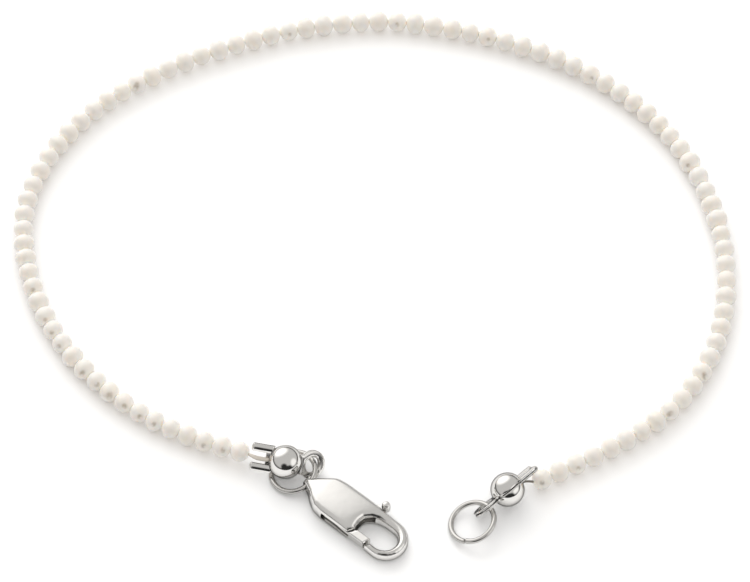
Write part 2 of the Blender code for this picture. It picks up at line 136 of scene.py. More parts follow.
def joined(surfaces: list) -> Surface:
    """Several surfaces as one, keeping the values that all of them have.

    Args:
        surfaces: The surfaces, in order.

    Returns:
        One surface, without lids.
    """
    starts = np.cumsum([0] + [len(s.points) for s in surfaces[:-1]])
    names = set(surfaces[0].values).intersection(*[s.values for s in surfaces])
    return Surface(
        np.vstack([s.points for s in surfaces]),
        np.vstack([s.faces + start for s, start in zip(surfaces, starts)]),
        {n: np.concatenate([s.values[n] for s in surfaces]) for n in names},
    )


def carried(path: np.ndarray, up: np.ndarray, profile: np.ndarray, closed: bool = False) -> Surface:
    """A profile carried along a path: P(u, v) = path(u) + x(u, v) * across(u) + y(u, v) * up(u).

    Args:
        path: Array (n, 3) of the middle line.
        up: One direction, or one per path point, that the profile's y follows.
        profile: Array (k, 2), or (n, k, 2) where it changes on the way.
        closed: Whether the path is a loop.

    Returns:
        The tube, capped unless it is a loop.
    """
    if closed:
        along = unit(np.roll(path, -1, axis=0) - np.roll(path, 1, axis=0))
    else:
        along = unit(np.gradient(path, axis=0))
    up = np.broadcast_to(np.asarray(up, float), path.shape)
    up = unit(up - (up * along).sum(1, keepdims=True) * along)
    across = np.cross(up, along)
    profile = np.broadcast_to(profile, (len(path), *np.shape(profile)[-2:]))
    points = path[:, None] + profile[..., :1] * across[:, None] + profile[..., 1:] * up[:, None]
    return grid_surface(points, wrap_rows=closed, caps=not closed)


def arc(radius: float, angle: np.ndarray) -> np.ndarray:
    """Points at these angles in the level plane, at one radius or one per angle."""
    return np.stack([radius * np.cos(angle), radius * np.sin(angle), 0 * angle], axis=1)


def circle(radius: float, count: int) -> np.ndarray:
    """Evenly spaced points of a circle, an array (count, 2)."""
    return arc(radius, 2 * np.pi * np.arange(count) / count)[:, :2]


def rounded_bar(width: float, height: float, edge: float, steps: int = 4) -> np.ndarray:
    """Outline of a rectangle whose corners are quarter circles.

    Args:
        width: Whole size along x.
        height: Whole size along y.
        edge: Radius of the corners.
        steps: Points in each corner.

    Returns:
        Array (4 * steps, 2).
    """
    corner = arc(edge, np.radians(np.linspace(0, 90, steps)))[:, :2]
    x, y = width / 2 - edge, height / 2 - edge
    parts = [corner @ turn((0, 0, 1), 90 * k)[:2, :2].T + (sx * x, sy * y)
             for k, (sx, sy) in enumerate(((1, 1), (-1, 1), (-1, -1), (1, -1)))]
    return np.vstack(parts)


def smooth_path(points: list, step: float) -> tuple:
    """A Catmull-Rom curve through the points: half of (2b + (c-a)t + (2a-5b+4c-d)t^2 + (3b-a-3c+d)t^3).

    Args:
        points: Places that the curve passes.
        step: Spacing of the samples.

    Returns:
        The sampled points and the length run at each.
    """
    p = np.array(points, float)
    p = np.vstack([2 * p[0] - p[1], p, 2 * p[-1] - p[-2]])
    a, b, c, d = (p[k : len(p) - 3 + k][:, None] for k in range(4))
    t = np.linspace(0, 1, 40, endpoint=False)[None, :, None]
    curve = 0.5 * (2 * b + (c - a) * t + (2 * a - 5 * b + 4 * c - d) * t**2 + (3 * b - a - 3 * c + d) * t**3)
    fine = np.vstack([curve.reshape(-1, 3), p[-2:-1]])
    run = np.r_[0, np.cumsum(np.linalg.norm(np.diff(fine, axis=0), axis=1))]
    even = np.arange(0, run[-1], step)
    return np.stack([np.interp(even, run, fine[:, k]) for k in range(3)], axis=1), even


# Finishes


class Nodes:
    """A node tree in the making, with short ways to add and join nodes."""

    def __init__(self, tree: bpy.types.NodeTree) -> None:
        """Works on this tree."""
        self.tree = tree

    def node(self, kind: str, **settings: object) -> bpy.types.Node:
        """Adds a node and sets its options.

        Args:
            kind: Blender's name of the node type.
            settings: Options by name.

        Returns:
            The node.
        """
        made = self.tree.nodes.new(kind)
        for key, value in settings.items():
            setattr(made, key, value)
        return made

    def join(self, source: object, target: object) -> None:
        """Links an output socket to an input socket."""
        self.tree.links.new(source, target)

    def math(self, operation: str, first: object, second: object = 0.5, clamp: bool = False) -> object:
        """A sum or function of two sockets or numbers.

        Args:
            operation: Blender's name of the sum or function.
            first: Socket or number.
            second: Socket or number.
            clamp: Whether the result is kept from 0 to 1.

        Returns:
            The result's socket.
        """
        made = self.node("ShaderNodeMath", operation=operation, use_clamp=clamp)
        for socket, value in zip(made.inputs, (first, second)):
            if isinstance(value, (int, float)):
                socket.default_value = value
            else:
                self.join(value, socket)
        return made.outputs[0]

    def eased(self, source: object, low: float, high: float, start: float, stop: float) -> object:
        """A smooth step from one value to another.

        Args:
            source: Socket that is read.
            low: Reading where the step starts.
            high: Reading where it ends.
            start: Value before the step.
            stop: Value after it.

        Returns:
            The value's socket.
        """
        step = self.node("ShaderNodeMapRange", interpolation_type="SMOOTHSTEP")
        self.join(source, step.inputs["Value"])
        for socket, value in (("From Min", low), ("From Max", high), ("To Min", start), ("To Max", stop)):
            step.inputs[socket].default_value = value
        return step.outputs[0]


class Shader(Nodes):
    """A material in the making."""

    def __init__(self, name: str) -> None:
        """Starts an empty material.

        Args:
            name: The material's name.
        """
        self.material = bpy.data.materials.new(name)
        self.material.use_nodes = True
        super().__init__(self.material.node_tree)
        self.surface = self.tree.nodes["Principled BSDF"]

    def mix(self, share: object, first: object, second: object) -> object:
        """A colour between two colours or sockets.

        Args:
            share: Socket or number, 0 for the first colour and 1 for the second.
            first: Colour or socket.
            second: Colour or socket.

        Returns:
            The colour's socket.
        """
        made = self.node("ShaderNodeMix", data_type="RGBA")
        for socket, value in zip((made.inputs[0], made.inputs[6], made.inputs[7]), (share, first, second)):
            if isinstance(value, (int, float)):
                socket.default_value = value
            elif isinstance(value, tuple):
                socket.default_value = (*value, 1.0)
            else:
                self.join(value, socket)
        return made.outputs[2]

    def attribute(self, name: str) -> bpy.types.Node:
        """Reads a value stored on the mesh."""
        return self.node("ShaderNodeAttribute", attribute_name=name)

    def noise(self, scale: float, detail: float = 2.0) -> object:
        """Soft noise over Object coordinates.

        Args:
            scale: Turns per metre.
            detail: Number of finer layers.

        Returns:
            Socket of a number from 0 to 1.
        """
        place = self.node("ShaderNodeTexCoord")
        made = self.node("ShaderNodeTexNoise")
        made.inputs["Scale"].default_value = scale
        made.inputs["Detail"].default_value = detail
        self.join(place.outputs["Object"], made.inputs["Vector"])
        return made.outputs["Fac"]

    def bump(self, height: object, distance: float, strength: float = 1.0) -> None:
        """Roughens the surface's normal by a height.

        Args:
            height: Socket of the height.
            distance: What a height of one stands for, in metres.
            strength: Share of the effect.
        """
        made = self.node("ShaderNodeBump")
        made.inputs["Distance"].default_value = distance
        made.inputs["Strength"].default_value = strength
        self.join(height, made.inputs["Height"])
        self.join(made.outputs["Normal"], self.surface.inputs["Normal"])

    def set(self, **values: object) -> None:
        """Sets sockets of the surface; an underscore in a name stands for a space."""
        for key, value in values.items():
            self.surface.inputs[key.replace("_", " ")].default_value = value


@dataclass(frozen=True)
class Nacre:
    """Pearl: pale clear layers over a warm core, with a small brown mark where one is flawed.

    Pearls run from cool to warm, flaws have the pit's colour, and a painted sheen adds the rim's colour at a
    glancing angle. The end's colour is painted light near the drill holes that lightens the shade in the
    grooves between pearls, and glow tints the light that passes a pearl.
    """

    cool: tuple = (0.68, 0.672, 0.657)
    warm: tuple = (0.69, 0.652, 0.602)
    pit: tuple = (0.36, 0.315, 0.25)
    # rim: colour of the painted sheen that the base colour takes at a glancing angle
    rim: tuple = (0.74, 0.73, 0.715)
    # end: colour of painted light towards each pearl's drill holes, which lightens the shade in the grooves
    # between pearls
    end: tuple = (0.90, 0.875, 0.83)
    glow: tuple = (1.0, 0.915, 0.81)
    # Share of the painted sheen in the base colour
    sheen: float = 0.3
    clearness: float = 0.62
    depth: float = 0.0016
    roughness: float = 0.4
    lustre: float = 1.85

    def material(self) -> bpy.types.Material:
        """Mixes tone, a painted rim sheen, painted light towards the ends and pits into one shader.

        Returns:
            The material, which reads tone, end, flaw and core.
        """
        shader = Shader("nacre")
        tone = shader.attribute("tone").outputs["Fac"]
        cloud = shader.math("MULTIPLY", shader.noise(1500.0, 3.0), 0.8)
        share = shader.math("ADD", tone, shader.math("SUBTRACT", cloud, 0.15), clamp=True)
        colour = shader.mix(share, self.cool, self.warm)
        # Painted sheen: the base colour turns towards the rim's colour at a glancing angle, a reflection
        # painted into the colour
        painted_sheen_weight = shader.node("ShaderNodeLayerWeight")
        painted_sheen_weight.inputs["Blend"].default_value = 0.35
        colour = shader.mix(shader.math("MULTIPLY", painted_sheen_weight.outputs["Facing"], self.sheen), colour, self.rim)
        # Painted light: lighter towards each pearl's ends, where the grooves between pearls are shaded
        colour = shader.mix(shader.attribute("end").outputs["Fac"], colour, self.end)
        healed = shader.math("MULTIPLY", self.within(shader, "core", 0.15, 0.8), 0.8)
        mark = shader.math("SUBTRACT", self.within(shader, "flaw", 0.3, 1.3), healed, clamp=True)
        uneven = shader.math("MULTIPLY", shader.noise(5200.0, 3.0), 1.15)
        mark = shader.math("MULTIPLY", mark, uneven, clamp=True)
        colour = shader.mix(mark, colour, self.pit)
        shader.join(colour, shader.surface.inputs["Base Color"])
        shader.bump(shader.noise(2600.0, 4.0), 0.00003, 0.35)
        shader.set(Roughness=self.roughness, Subsurface_Weight=1.0, Subsurface_Scale=self.depth,
                   Subsurface_Radius=(1.0, 0.86, 0.7), IOR=1.45, Coat_Weight=0.6, Coat_Roughness=0.2,
                   Coat_IOR=self.lustre)
        self.let_light_through(shader)
        return shader.material

    def within(self, shader: Shader, name: str, full: float, none: float) -> object:
        """One inside a length of the stored vector, fading to nothing at another.

        Args:
            shader: The shader in the making.
            name: Name of the stored vector.
            full: Length up to which it is one.
            none: Length from which it is zero.

        Returns:
            The share's socket.
        """
        reach = shader.node("ShaderNodeVectorMath", operation="LENGTH")
        shader.join(shader.attribute(name).outputs["Vector"], reach.inputs[0])
        return shader.eased(reach.outputs["Value"], full, none, 1.0, 0.0)

    def let_light_through(self, shader: Shader) -> None:
        """Lets a share of the light pass, tinted, so that the pearls' shadows stay soft and warm.

        Args:
            shader: The shader in the making.
        """
        clear = shader.node("ShaderNodeBsdfTransparent")
        clear.inputs["Color"].default_value = (*[self.clearness * part for part in self.glow], 1.0)
        both = shader.node("ShaderNodeMixShader")
        kind = shader.node("ShaderNodeLightPath")
        shader.join(kind.outputs["Is Shadow Ray"], both.inputs["Fac"])
        shader.join(shader.surface.outputs[0], both.inputs[1])
        shader.join(clear.outputs[0], both.inputs[2])
        shader.join(both.outputs[0], shader.tree.nodes["Material Output"].inputs["Surface"])


@dataclass(frozen=True)
class Silver:
    """Silver, from mirror to satin: its colour face on, the tint at its edges, and its fine unevenness."""

    name: str
    colour: tuple = (0.82, 0.81, 0.79)
    edge: tuple = (0.1, 0.1, 0.1)
    roughness: float = 0.05
    grain: float = 0.25

    def material(self) -> bpy.types.Material:
        """A metal whose polish varies a little from place to place.

        Returns:
            The material.
        """
        shader = Shader(self.name)
        shader.set(Metallic=1.0, Roughness=self.roughness, Base_Color=(*self.colour, 1.0),
                   Specular_Tint=(*self.edge, 1.0))
        wear = shader.noise(900.0, 3.0)
        spread = shader.math("MULTIPLY", shader.math("SUBTRACT", wear, 0.5), self.roughness * 0.8)
        shader.join(shader.math("ADD", spread, self.roughness), shader.surface.inputs["Roughness"])
        shader.bump(shader.noise(1400.0, 2.0), 0.00002, self.grain)
        return shader.material


@dataclass(frozen=True)
class Thread:
    """Waxed thread, pale at the clasp and darker towards the catch."""

    pale: tuple = (0.62, 0.57, 0.5)
    dark: tuple = (0.16, 0.14, 0.12)

    def material(self) -> bpy.types.Material:
        """A matt fibre.

        Returns:
            The material, which reads shade.
        """
        shader = Shader("thread")
        shade = shader.attribute("shade").outputs["Fac"]
        fibre = shader.noise(9000.0, 3.0)
        shade = shader.math("ADD", shade, shader.math("MULTIPLY", fibre, 0.3), clamp=True)
        shader.join(shader.mix(shade, self.pale, self.dark), shader.surface.inputs["Base Color"])
        shader.bump(fibre, 0.00003, 0.6)
        shader.set(Roughness=0.6)
        return shader.material


# Layout shared by the pieces


@dataclass(frozen=True)
class Layout:
    """How the pieces lie, in millimetres before the shift that centres the bracelet."""

    route: tuple = (
        (-12.5, -18.85, 1.4), (-16.3, -17.3, 1.05), (-20.6, -15.15, 1.0), (-24.6, -12.15, 1.0),
        (-28.05, -8.35, 1.0), (-30.9, -3.7, 1.0), (-32.7, 1.6, 1.0), (-33.3, 6.6, 1.0), (-32.7, 10.9, 1.0),
        (-30.6, 15.7, 1.0), (-27.1, 20.1, 1.0), (-22.9, 23.4, 1.0), (-18.2, 26.1, 1.0), (-13.3, 28.1, 1.0),
        (-8.3, 29.7, 1.0), (-3.2, 30.6, 1.0), (2.0, 30.8, 1.0), (7.1, 30.0, 1.0), (12.2, 28.6, 1.0),
        (17.1, 26.6, 1.0), (21.7, 23.8, 1.0), (25.8, 20.2, 1.0), (29.2, 15.7, 1.0), (31.6, 10.4, 1.0),
        (33.0, 4.2, 1.0), (32.9, -2.4, 1.0), (31.4, -8.0, 1.0), (28.6, -12.8, 1.0), (24.9, -16.2, 1.0),
        (20.8, -18.8, 1.0), (15.35, -21.65, 1.0),
    )
    clasp_at: tuple = (-6.05, -21.95)
    clasp_yaw: float = -40.6
    centring: tuple = (0.0823, -0.8861, 0.063)

    def shift(self) -> np.ndarray:
        """The move that centres the bracelet and sets its lowest point on the table."""
        return np.array(self.centring)

    def clasp(self, surface: Surface) -> Surface:
        """From the clasp's own frame to the layout."""
        return surface.moved(turn((0, 0, 1), self.clasp_yaw), (*self.clasp_at, 0))


class Piece:
    """One visible piece: a mesh with a finish that stands for a solid."""

    name: str
    node: str
    slot = "silver"
    body = Body.BRACELET

    def mesh(self) -> Surface:
        """The surface in layout millimetres."""
        raise NotImplementedError

    def dress(self) -> bpy.types.Material:
        """The finish."""
        return Silver("polished_silver").material()

    def build(self, shift: np.ndarray) -> bpy.types.Object:
        """Makes the object, hangs it on its body and reports it.

        Args:
            shift: Move from the layout to the shared frame, in millimetres.

        Returns:
            The finished object.
        """
        surface = self.mesh()
        made = add_object(self.name, surface, shift, self.dress())
        self.settle(made)
        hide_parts(self.node)
        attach(made, self.body.value)
        LOG.info("%s: %d points, %d faces", self.name, len(made.data.vertices), len(made.data.polygons))
        return made

    def settle(self, made: bpy.types.Object) -> None:
        """Last changes to the object's mesh."""


def add_object(
    name: str, surface: Surface, shift: np.ndarray, material: bpy.types.Material
) -> bpy.types.Object:
    """A mesh object in metres at the origin, with the surface's stored values.

    Args:
        name: Object and mesh name.
        surface: Points in millimetres, faces and values.
        shift: Added to each point, in millimetres.
        material: Its only material.

    Returns:
        The linked object.
    """
    mesh = bpy.data.meshes.new(name)
    faces = surface.faces
    corners = np.where(faces[:, 2] == faces[:, 3], 3, 4)
    keep = np.ones(faces.shape, bool)
    keep[:, 3] = corners == 4
    mesh.vertices.add(len(surface.points))
    mesh.vertices.foreach_set("co", ((surface.points + shift) * MM).astype(np.float32).ravel())
    mesh.loops.add(int(corners.sum()))
    mesh.loops.foreach_set("vertex_index", faces[keep].astype(np.int32))
    mesh.polygons.add(len(faces))
    mesh.polygons.foreach_set("loop_start", np.r_[0, np.cumsum(corners)[:-1]].astype(np.int32))
    mesh.polygons.foreach_set("use_smooth", np.ones(len(faces), bool))
    mesh.update(calc_edges=True)
    for key, value in surface.values.items():
        kind, place = ("FLOAT", "value") if value.ndim == 1 else ("FLOAT_VECTOR", "vector")
        mesh.attributes.new(key, kind, "POINT").data.foreach_set(place, value.astype(np.float32).ravel())
    mesh.materials.append(material)
    made = bpy.data.objects.new(name, mesh)
    bpy.context.collection.objects.link(made)
    return made


# Strand


@dataclass
class Strand:
    """Places and sizes of the pearls along the route."""

    layout: Layout
    width: float = 2.0
    pitch: float = 1.77
    spread: float = 0.045

    def __post_init__(self) -> None:
        """Works out each pearl's length, width, middle and direction."""
        self.path, self.run = smooth_path(self.layout.route, 0.05)
        whole = self.run[-1]
        count = int(round(whole / self.pitch)) + 1
        random = np.random.default_rng(7)
        lengths = self.pitch * (1 + self.spread * np.clip(random.normal(0, 1, count), -1.6, 1.6))
        self.lengths = lengths * (whole + self.pitch) / lengths.sum()
        self.widths = self.width * (1 + self.spread * np.clip(random.normal(0, 0.8, count), -1.4, 1.4))
        ends = np.r_[0, np.cumsum(self.lengths)] - self.pitch / 2
        self.middles = self.at((ends[:-1] + ends[1:]) / 2)
        self.along = unit(self.at(ends[1:]) - self.at(ends[:-1]))
        self.count = count

    def at(self, run: np.ndarray) -> np.ndarray:
        """Points at these lengths along the route, carried straight on past its ends.

        Args:
            run: Array of lengths in millimetres.

        Returns:
            Array (n, 3) of points.
        """
        inner = np.clip(run, 0, self.run[-1])
        point = np.stack([np.interp(inner, self.run, self.path[:, k]) for k in range(3)], axis=1)
        start, stop = unit(self.path[0] - self.path[4]), unit(self.path[-1] - self.path[-5])
        return point - np.minimum(run, 0)[:, None] * start + np.maximum(run - self.run[-1], 0)[:, None] * stop


@dataclass
class Pearls(Piece):
    """All pearls as one mesh: slightly flattened, uneven balls, every one a little different.

    The radius of pearl k at axis share x and turn q is
    R_k (1 - |x|^f)^(1/f) (1 - dents_k(x, q)), with f the fullness and dents of a few per cent from three
    slow waves.
    """

    strand: Strand
    rows: int = 26
    columns: int = 34
    fullness: float = 2.08
    name = "pearls"
    node = "pearl_string"
    slot = "pearl"

    # Pearls with a visible flaw, counted from the clasp's end: number, size, and how long it is drawn out
    FLAWS = (
        (1, 0.20, 1.3), (2, 0.22, 1.0), (5, 0.20, 1.2), (6, 0.23, 1.0), (7, 0.22, 1.2), (8, 0.30, 1.2),
        (9, 0.24, 1.0), (10, 0.22, 1.4), (12, 0.20, 1.0), (13, 0.19, 1.0), (14, 0.18, 1.0), (16, 0.20, 1.2),
        (32, 0.26, 2.4), (41, 0.17, 1.0), (47, 0.18, 1.2), (52, 0.16, 1.0), (58, 0.17, 1.0), (66, 0.16, 1.2),
        (80, 0.24, 1.8), (83, 0.22, 1.7), (89, 0.20, 1.0), (91, 0.20, 1.1),
    )
    WHITEST = 32
    # Depth of the three waves of dents, as a share of the radius
    DENTS = (0.022, 0.016, 0.012)

    def mesh(self) -> Surface:
        """Every pearl at once, as an array of (pearl, row, column) points.

        Returns:
            One surface with the values tone, end, flaw and core.
        """
        strand, count = self.strand, self.strand.count
        random = np.random.default_rng(21)
        polar = np.linspace(0.06, np.pi - 0.06, self.rows)
        x = -np.cos(polar)[None, :, None]
        q = (2 * np.pi * np.arange(self.columns) / self.columns)[None, None, :]
        bulge = (1 - np.abs(x) ** self.fullness) ** (1 / self.fullness)
        phase = random.uniform(0, 2 * np.pi, (3, count, 1, 1))
        size = random.uniform(0.2, 1.0, (3, count, 1, 1)) * np.array(self.DENTS)[:, None, None, None]
        waves = (2 * q, 3 * q + 2.2 * x, q + 4.0 * x)
        dents = sum(size[k] * (1 + np.cos(wave + phase[k])) / 2 for k, wave in enumerate(waves))
        radius = strand.widths[:, None, None] / 2 * bulge * (1 - dents)
        half = strand.lengths[:, None, None, None] / 2 * 0.995
        side = unit(np.cross(strand.along, (0, 0, 1.0)))
        rise = np.cross(side, strand.along)
        out = np.cos(q)[..., None] * side[:, None, None] + np.sin(q)[..., None] * rise[:, None, None]
        points = (strand.middles[:, None, None] + half * x[..., None] * strand.along[:, None, None]
                  + radius[..., None] * out)
        direction = unit(x[..., None] * strand.along[:, None, None] + bulge[..., None] * out)
        flaw, core = self.flaws(direction)
        tones = random.uniform(0.12, 0.5, (count, 1, 1))
        tones[self.WHITEST] = 0.0
        tone = np.broadcast_to(tones, flaw.shape[:3])
        # Share of the painted light towards each pearl's ends, against the shade in the grooves between
        # pearls
        end = np.broadcast_to(np.abs(x) ** 5, flaw.shape[:3])
        one = grid_surface(points[0], caps=True)
        extra = np.stack([points[:, 0].mean(1), points[:, -1].mean(1)], axis=1)
        flat = np.concatenate([points.reshape(count, -1, 3), extra], axis=1)
        faces = one.faces[None] + (np.arange(count) * flat.shape[1])[:, None, None]

        def stored(values: np.ndarray) -> np.ndarray:
            """Values per point, the last row's again for the middle of each cap."""
            rows = values.reshape(count, self.rows * self.columns, -1)
            return np.concatenate([rows, rows[:, [0, -1]]], axis=1).reshape(-1, rows.shape[2]).squeeze()

        values = {"tone": stored(tone), "end": stored(end), "flaw": stored(flaw), "core": stored(core)}
        return Surface(flat.reshape(-1, 3), faces.reshape(-1, 4), values)

    def flaws(self, direction: np.ndarray) -> tuple:
        """How far each point is from its pearl's flaw, and from the healed core that leaves a crescent.

        Args:
            direction: Array (pearl, row, column, 3) of directions out of each pearl.

        Returns:
            Two arrays of vectors whose length is one at the mark's edge; far off on a pearl without a flaw.
        """
        random = np.random.default_rng(5)
        flaw = np.full(direction.shape, 9.0)
        core = flaw.copy()
        for number, size, drawn in self.FLAWS:
            front = unit(np.array([random.uniform(-0.25, 0.25), -0.80 + random.uniform(-0.12, 0.1), 0.55]))
            lean = unit(np.array([random.uniform(-1, 1), 0.3, 0.6]))
            away = direction[number] - front
            away = away - (1 - 1 / drawn) * (away @ lean)[..., None] * lean
            flaw[number] = away / (1.3 * size)
            core[number] = (flaw[number] - 0.55 * unit(random.normal(0, 1, 3))) / 0.8
        return flaw, core

    def dress(self) -> bpy.types.Material:
        """Nacre."""
        return Nacre().material()


# Bead tips


@dataclass(frozen=True)
class TipPlace:
    """Where a bead tip lies.

    Attributes:
        at: Middle of its ball.
        yaw: Plan direction from the ball to the eyes, in degrees.
        pitch: Rise of that direction.
        roll: Turn about it, from the upper cup straight up.
        bend: How far the eyes are bent down from it.
        reach: From the neck's root to the middle of the eyes.
        gate: Where the thread enters the fold, in the tip's own frame.
        lower_slot: Where the lower sheet's slot ends, along the tip.
    """

    at: tuple
    yaw: float
    pitch: float
    roll: float
    bend: float
    reach: float
    gate: tuple
    lower_slot: float

    @property
    def open_below(self) -> bool:
        """Whether the lower slot runs right up to the ball."""
        return self.lower_slot > -1.5

    def frame(self) -> np.ndarray:
        """Columns: from the strand to the eyes, across the fold, out of the upper cup.

        Returns:
            A 3 by 3 matrix.
        """
        along = turn((0, 0, 1), self.yaw) @ turn((0, 1, 0), -self.pitch) @ np.array([1.0, 0, 0])
        out = turn(along, self.roll) @ unit(np.array([0, 0, 1.0]) - along[2] * along)
        return np.column_stack([along, np.cross(out, along), out])


class TipEnd(Enum):
    """The two bead tips."""

    CLASP = TipPlace((-8.262, -20.286, 1.862), -11.73, 0.0, 45.0, 40.45, 1.196, (-2.6, -0.05, 0.22), -1.9)
    CATCH = TipPlace((12.2, -23.215, 1.734), -139.9, -9.23, 57.4, -0.75, 1.1, (-1.75, 0.1, -0.45), -1.0)


@dataclass
class BeadTip(Piece):
    """A folded knot cover of sheet silver: two cups, a slotted fold and an eye on each cup."""

    name: str
    node: str
    place: TipPlace
    ball: float = 3.16
    sheet: float = 0.18
    seam: float = 0.1
    fold_reach: float = 3.3
    fold_width: float = 2.6
    slot_width: float = 1.15
    eye_width: float = 2.74
    eye_hole: float = 1.48
    neck: float = 1.9
    root: float = 1.42
    slot_above: float = 0.46
    slot_below: float = 0.62
    dome: float = 0.11

    def mesh(self) -> Surface:
        """All sheets in the tip's own frame, then laid in place.

        Returns:
            The whole tip.
        """
        parts = [self.cup(1), self.cup(-1), self.strap(1), self.strap(-1), self.eye(1), self.eye(-1)]
        if not self.place.open_below:
            parts.append(self.lower_leaf())
        return joined(parts).moved(self.place.frame(), self.place.at)

    def cup(self, side: int) -> Surface:
        """A thick half ball: rows run from the pole down the outside, round the rim and up the inside.

        The rim's height over the seam is half the gap, except across the slot, where it steps up.

        Args:
            side: 1 for the upper cup, -1 for the lower.

        Returns:
            The cup.
        """
        turns = 120
        angle = 2 * np.pi * np.arange(turns) / turns
        slot = self.slot_above if side > 0 else self.slot_below if self.place.open_below else self.seam / 2
        half = math.asin(self.slot_width / self.ball)
        low = np.where(np.abs(angle - np.pi) < half, slot, self.seam / 2)[None, :]
        outer, inner = self.ball / 2, self.ball / 2 - self.sheet
        rows = np.linspace(0, 1, 22)[:, None]
        polar_out = rows * np.arccos(low / outer) * 0.985
        polar_in = rows[::-1] * np.arccos(low / inner) * 0.985
        rims = np.linspace(0, 1, 5)[1:-1, None]
        radius = np.vstack([np.full((22, turns), outer), outer - rims * self.sheet * np.ones((3, turns)),
                            np.full((22, turns), inner)])
        polar = np.vstack([polar_out, np.broadcast_to(np.arccos(low / outer), (3, turns)), polar_in])
        points = np.stack([radius * np.sin(polar) * np.cos(angle), radius * np.sin(polar) * np.sin(angle),
                           side * radius * np.cos(polar)], axis=2)
        made = grid_surface(points)
        return made if side < 0 else made.flipped()

    def strap(self, side: int) -> Surface:
        """A rounded strip carried round the fold, from the upper cup over the crest to the lower cup.

        Args:
            side: 1 or -1, the side of the slot.

        Returns:
            The strip.
        """
        middle = 0.1 + self.sheet / 2
        crest = -(self.fold_reach - 0.1 - self.sheet)
        bow = np.radians(np.linspace(90, 270, 21))
        start = -math.sqrt((self.ball / 2 - 0.08) ** 2 - 0.95**2)
        flat = np.linspace(start, crest, 8)[:-1]
        x = np.r_[flat, crest + middle * np.cos(bow), flat[::-1]]
        z = np.r_[np.full(7, middle), middle * np.sin(bow), np.full(7, -middle)]
        width = (self.fold_width - self.slot_width) / 2
        y = side * (self.fold_width / 2 - width / 2)
        path = np.stack([x, np.full(len(x), y), z], axis=1)
        up = np.stack([np.r_[np.zeros(7), np.cos(bow), np.zeros(7)], np.zeros(len(x)),
                       np.r_[np.ones(7), np.sin(bow), -np.ones(7)]], axis=1)
        return carried(path, up, self.crowned(width))

    def crowned(self, width: float) -> np.ndarray:
        """Outline of a strip whose outer face is gently domed: height/2 - dome * (2 y / width)^2.

        Args:
            width: Whole width of the strip.

        Returns:
            Array (30, 2).
        """
        y = width / 2 * np.cos(np.radians(np.linspace(6, 174, 15)))
        top = self.sheet / 2 - self.dome * (2 * y / width) ** 2
        return np.vstack([np.c_[y, top], np.c_[y[::-1], np.full(15, -self.sheet / 2)]])

    def lower_leaf(self) -> Surface:
        """The part of the lower sheet behind the shorter slot."""
        path = np.linspace((self.place.lower_slot, 0, -0.19), (-1.5, 0, -0.19), 6)
        return carried(path, (0, 0, 1), rounded_bar(self.slot_width + 0.1, self.sheet * 0.96, 0.03))

    def eye(self, side: int) -> Surface:
        """A flat eye: at turn q its sheet spans from the hole's radius to r(q).

        r(q) is the disc's radius, or on the ball's side the distance to the neck's straight flank and root.

        Args:
            side: 1 for the upper sheet's eye, -1 for the lower's.

        Returns:
            The eye.
        """
        turns = 96
        q = 2 * np.pi * np.arange(turns) / turns
        disc, half = self.eye_width / 2, self.neck / 2
        back = np.cos(q) < -0.05
        flank = half / np.maximum(np.abs(np.sin(q)), 1e-6)
        root = (self.place.reach + 0.18) / np.maximum(-np.cos(q), 1e-6)
        outer = np.where(back, np.maximum(disc, np.minimum(flank, root)), disc)
        hole = self.eye_hole / 2
        edge = self.sheet / 2 * 0.96
        bow = np.radians(np.linspace(-90, 90, 7))
        share_out = np.stack([outer[None, :] - edge + edge * np.cos(bow)[:, None],
                              np.broadcast_to(edge * np.sin(bow)[:, None], (7, turns))], axis=2)
        share_in = np.stack([hole + edge - edge * np.cos(bow)[::-1, None] * np.ones((7, turns)),
                             np.broadcast_to(edge * np.sin(bow)[::-1, None], (7, turns))], axis=2)
        profile = np.concatenate([share_out, share_in])
        centre = self.seam / 2 + self.sheet / 2
        points = np.stack([self.place.reach + profile[..., 0] * np.cos(q),
                           profile[..., 0] * np.sin(q), side * centre + profile[..., 1]], axis=2)
        made = grid_surface(points, wrap_rows=True).flipped()
        return made.moved(turn((0, 1, 0), self.place.bend), (self.root, 0, 0))


